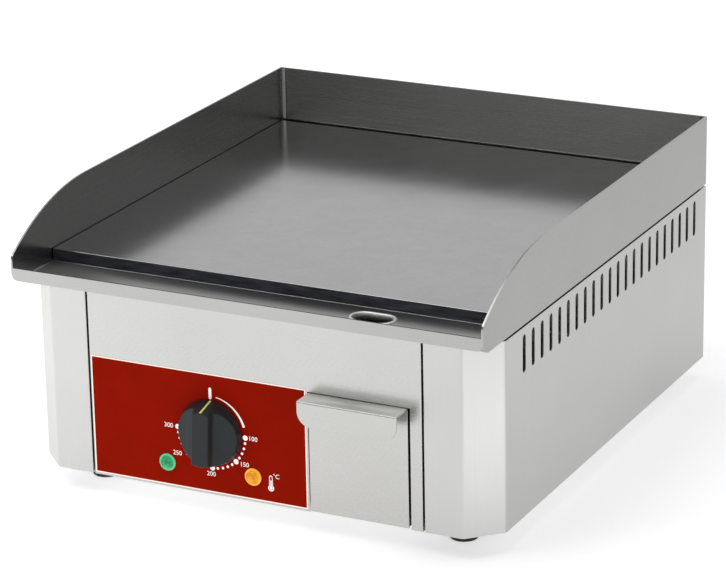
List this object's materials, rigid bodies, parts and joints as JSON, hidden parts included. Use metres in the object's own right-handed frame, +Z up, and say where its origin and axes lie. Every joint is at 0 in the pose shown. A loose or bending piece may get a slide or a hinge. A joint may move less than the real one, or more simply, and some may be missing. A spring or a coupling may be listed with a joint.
{
  "type": "flat top griddle",
  "caption": "Counter-top electric griddle with a thick steel plate, splash guard, front gutter with drain, thermostat knob and pull-out drip drawer.",
  "frame": {"origin": "middle of the overall footprint, on the surface that the feet stand on", "axes": "+X to the right seen from the front, +Y from the front panel to the rear, +Z up"},
  "size_m": [0.4, 0.4746, 0.2305],
  "materials": {
    "casing_steel": "fine vertical brushed grain, satin",
    "guard_steel": "brushed grain, satin",
    "drawer_steel": "brushed grain, satin",
    "plate_steel": "ground and polished steel, faint swirls",
    "zinc_steel": "bright zinc plating",
    "dark_strip": "dark, matt",
    "element_sheath": "heat-darkened sheath",
    "shield_sheet": "aluminised sheet, dull",
    "mineral_wool": "loose fibre",
    "brass": "plain",
    "copper": "drawn copper, dull",
    "black_phenolic": "moulded",
    "porcelain": "white electrical ceramic",
    "red_plate": "semi-gloss printed plate",
    "knob_plastic": "fine moulded texture",
    "yellow_inlay": "painted line",
    "green_lens": "moulded translucent lens",
    "amber_lens": "moulded translucent lens",
    "lamp_plastic": "moulded",
    "black_nylon": "moulded",
    "rubber_seal": "moulded",
    "foot_rubber": "moulded, matt",
    "lead_sleeve_brown": "silicone sleeve",
    "lead_sleeve_white": "woven glass sleeve",
    "lead_sleeve_grey": "silicone sleeve"
  },
  "bodies": {
    "chassis": {"left_side_panel": "casing_steel", "right_side_panel": "casing_steel", "front_panel": "casing_steel", "rear_panel": "casing_steel", "rear_rail": "casing_steel", "base_plate": "zinc_steel", "support_frame": "dark_strip", "splash_pan": "guard_steel", "drain_spout": "guard_steel", "griddle_plate": "plate_steel", "plate_studs": "zinc_steel", "left_heating_element": "element_sheath", "right_heating_element": "element_sheath", "element_terminals": "brass", "front_clamp_bar": "zinc_steel", "rear_clamp_bar": "zinc_steel", "clamp_nuts": "zinc_steel", "heat_shield": "shield_sheet", "insulation_blanket": "mineral_wool", "thermostat_body": "black_phenolic", "thermostat_screws": "zinc_steel", "sensor_bulb": "copper", "bulb_clips": "zinc_steel", "capillary_tube": "copper", "safety_cutout": "porcelain", "control_overlay": "red_plate", "green_lens": "green_lens", "amber_lens": "amber_lens", "green_lamp_body": "lamp_plastic", "amber_lamp_body": "lamp_plastic", "left_drawer_guide": "zinc_steel", "right_drawer_guide": "zinc_steel", "drawer_stop": "zinc_steel", "terminal_block": "porcelain", "supply_leads": "lead_sleeve_brown", "element_leads": "lead_sleeve_white", "lamp_leads": "lead_sleeve_grey", "cable_gland": "black_nylon", "gland_cap": "black_nylon", "gland_seal": "rubber_seal", "gland_locknut": "black_nylon", "bonding_stud": "zinc_steel", "bonding_nut": "zinc_steel", "front_left_foot": "foot_rubber", "front_right_foot": "foot_rubber", "rear_left_foot": "foot_rubber", "rear_right_foot": "foot_rubber", "foot_screws": "zinc_steel", "foot_nuts": "zinc_steel", "rear_panel_screws": "zinc_steel", "base_screws": "zinc_steel"},
    "drawer": {"drawer_front": "drawer_steel", "drawer_box": "drawer_steel"},
    "knob": {"control_knob": "knob_plastic", "knob_pointer": "yellow_inlay", "thermostat_shaft": "zinc_steel"}
  },
  "joints": [
    {"name": "knob_turn", "type": "hinge", "parent": "chassis", "child": "knob", "pos_m": [-0.0361, -0.22775, 0.0693], "axis": [0, 1, 0], "range_deg": [0, 270]},
    {"name": "drawer_slide", "type": "slide", "parent": "chassis", "child": "drawer", "axis": [0, -1, 0], "range_m": [0, 0.2]}
  ]
}
